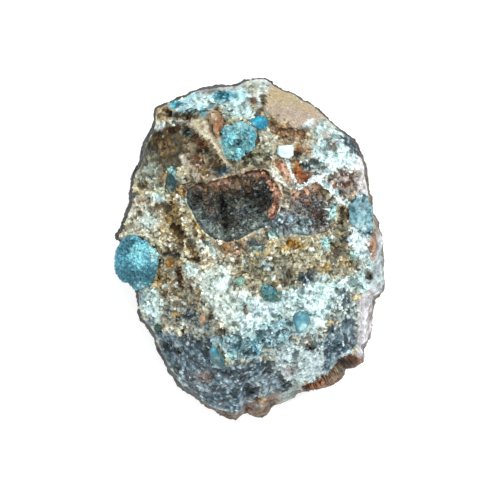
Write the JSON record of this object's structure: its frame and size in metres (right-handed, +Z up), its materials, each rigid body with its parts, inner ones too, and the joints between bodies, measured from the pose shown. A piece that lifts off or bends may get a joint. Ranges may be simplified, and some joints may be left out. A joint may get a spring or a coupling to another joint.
{
  "type": "calcite specimen",
  "caption": "Palm-sized broken nodule lying face up: crumbly pale calcite with a dark crystal-lined vug, a shallower hollow and blue and teal crystal balls.",
  "frame": {"origin": "middle of the flat back that the stone lies on", "axes": "+X across the face to its right, +Y along the face to its broad top, +Z up out of the face"},
  "size_m": [0.0669, 0.0847, 0.0316],
  "materials": {
    "calcite_matrix": "crumbly white, cream, ochre and slate calcite and rock",
    "dark_druse": "fine dark glinting crystals",
    "rosy_druse": "fine reddish brown to blue-grey crystals",
    "blue_mineral": "radiating sky-blue to dark teal crystals",
    "azure_mineral": "bright azure crystals",
    "teal_mineral": "fine-grained teal crystals",
    "pale_blue_mineral": "pale blue crystals with teal spots",
    "rosy_calcite": "translucent rosy brown crystal",
    "white_calcite": "milky white cleavage faces",
    "honey_calcite": "translucent honey-brown crystal"
  },
  "bodies": {
    "root": {"matrix": "calcite_matrix", "vug_crust": "dark_druse", "hollow_crust": "rosy_druse", "blue_ball": "blue_mineral", "turquoise_cluster": "blue_mineral", "azure_knob": "azure_mineral", "green_bead": "teal_mineral", "rosy_crystal": "rosy_calcite", "pale_blue_lump": "pale_blue_mineral", "teal_lump": "teal_mineral", "teal_pod": "teal_mineral", "teal_bead_1": "teal_mineral", "teal_bead_2": "teal_mineral", "teal_bead_3": "teal_mineral", "teal_crystal": "teal_mineral", "calcite_rhomb": "white_calcite", "honey_crystal": "honey_calcite"}
  },
  "joints": []
}
